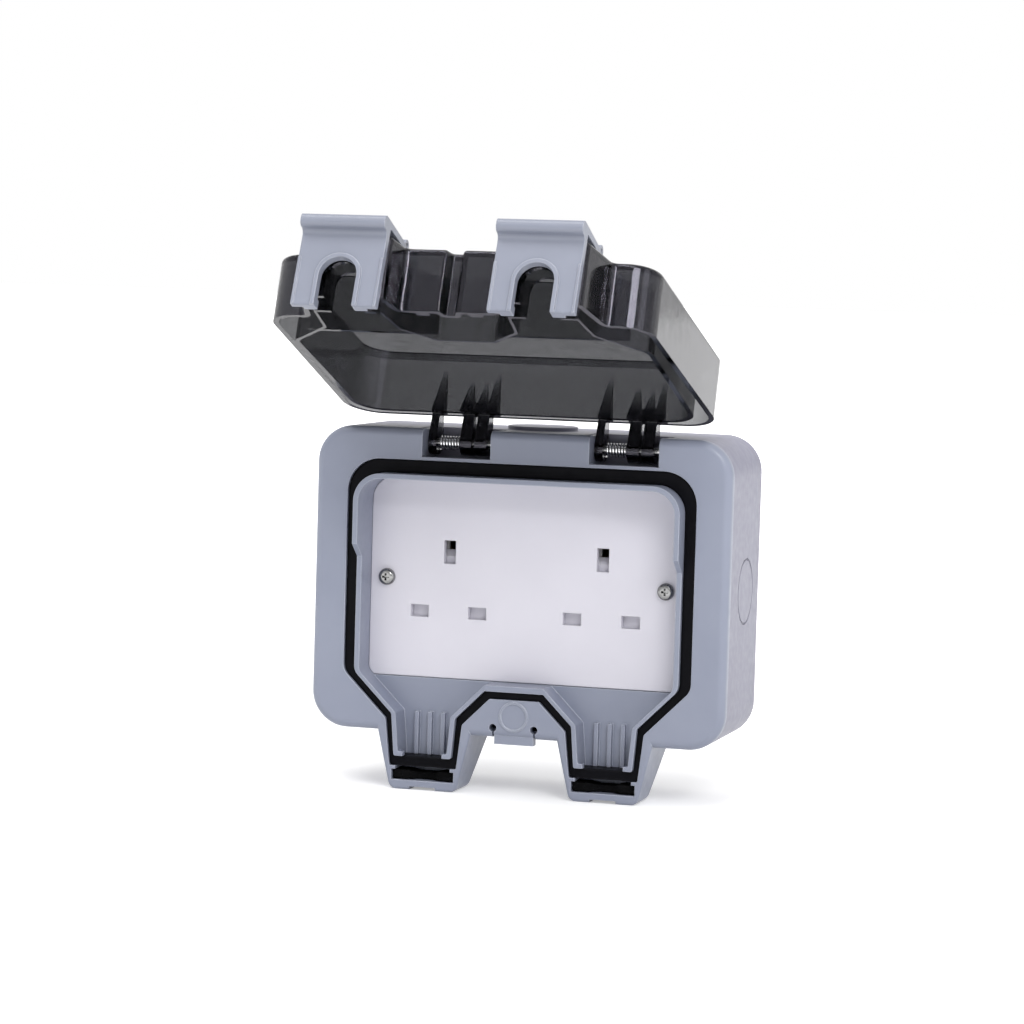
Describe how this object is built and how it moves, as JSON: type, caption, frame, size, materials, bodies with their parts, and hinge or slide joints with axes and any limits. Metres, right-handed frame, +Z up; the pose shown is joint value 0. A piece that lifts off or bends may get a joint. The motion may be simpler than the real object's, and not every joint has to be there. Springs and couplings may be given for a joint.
{
  "type": "outdoor weatherproof socket",
  "caption": "Weatherproof wall socket with a sprung smoked lid, snap latches, a gasketed frame, shuttered pin openings and legs for the plug cables.",
  "frame": {"origin": "centre of the back box's wall face", "axes": "+X to the right seen from the front, +Y into the wall, +Z up; the front faces -Y"},
  "size_m": [0.157, 0.1658, 0.2094],
  "materials": {
    "box_grey": "fine satin moulded grey",
    "frame_grey": "satin moulded blue grey",
    "clip_grey": "satin moulded light grey",
    "gasket_black": "soft black rubber",
    "foam_black": "closed-cell black foam",
    "plate_white": "glossy white moulding",
    "base_white": "plain white moulding",
    "shutter_white": "white nylon",
    "smoked_clear": "smoked translucent polycarbonate",
    "screw_steel": "plated steel",
    "pin_steel": "drawn steel rod",
    "spring_steel": "bright spring wire",
    "brass": "stamped brass"
  },
  "bodies": {
    "enclosure": {"back_box": "box_grey", "box_seal": "gasket_black", "front_frame": "frame_grey", "lid_seal": "gasket_black", "cable_seal_left": "foam_black", "cable_seal_right": "foam_black", "faceplate": "plate_white", "faceplate_screws": "screw_steel", "screw_inserts": "brass", "hinge_pin_left": "pin_steel", "hinge_pin_right": "pin_steel", "lid_spring_left": "spring_steel", "lid_spring_right": "spring_steel", "socket_base": "base_white", "live_busbar": "brass", "neutral_busbar": "brass", "earth_busbar": "brass", "terminal_screws": "screw_steel", "base_screws": "screw_steel", "shutter_spring_left": "spring_steel", "shutter_spring_right": "spring_steel"},
    "lid": {"lid": "smoked_clear", "latch_pin_left": "pin_steel", "latch_pin_right": "pin_steel"},
    "latch_left": {"latch_left": "clip_grey"},
    "latch_right": {"latch_right": "clip_grey"},
    "shutter_left": {"shutter_left": "shutter_white"},
    "shutter_right": {"shutter_right": "shutter_white"}
  },
  "joints": [
    {"name": "lid_hinge", "type": "hinge", "parent": "enclosure", "child": "lid", "pos_m": [0, -0.0418, 0.0505], "axis": [1, 0, 0], "range_deg": [0, 110], "stiffness_Nm_per_rad": 0.16, "springref_deg": -34.38},
    {"name": "latch_left_pivot", "type": "hinge", "parent": "lid", "child": "latch_left", "pos_m": [-0.03435, -0.13282, 0.12205], "axis": [1, 0, 0], "range_deg": [-30, 4]},
    {"name": "latch_right_pivot", "type": "hinge", "parent": "lid", "child": "latch_right", "pos_m": [0.03435, -0.13282, 0.12205], "axis": [1, 0, 0], "range_deg": [-30, 4]},
    {"name": "shutter_left_slide", "type": "slide", "parent": "enclosure", "child": "shutter_left", "axis": [0, 0, -1], "range_m": [0, 0.0056], "stiffness_N_per_m": 60, "springref_m": -0.004, "deforming": ["shutter_spring_left"]},
    {"name": "shutter_right_slide", "type": "slide", "parent": "enclosure", "child": "shutter_right", "axis": [0, 0, -1], "range_m": [0, 0.0056], "stiffness_N_per_m": 60, "springref_m": -0.004, "deforming": ["shutter_spring_right"]}
  ]
}
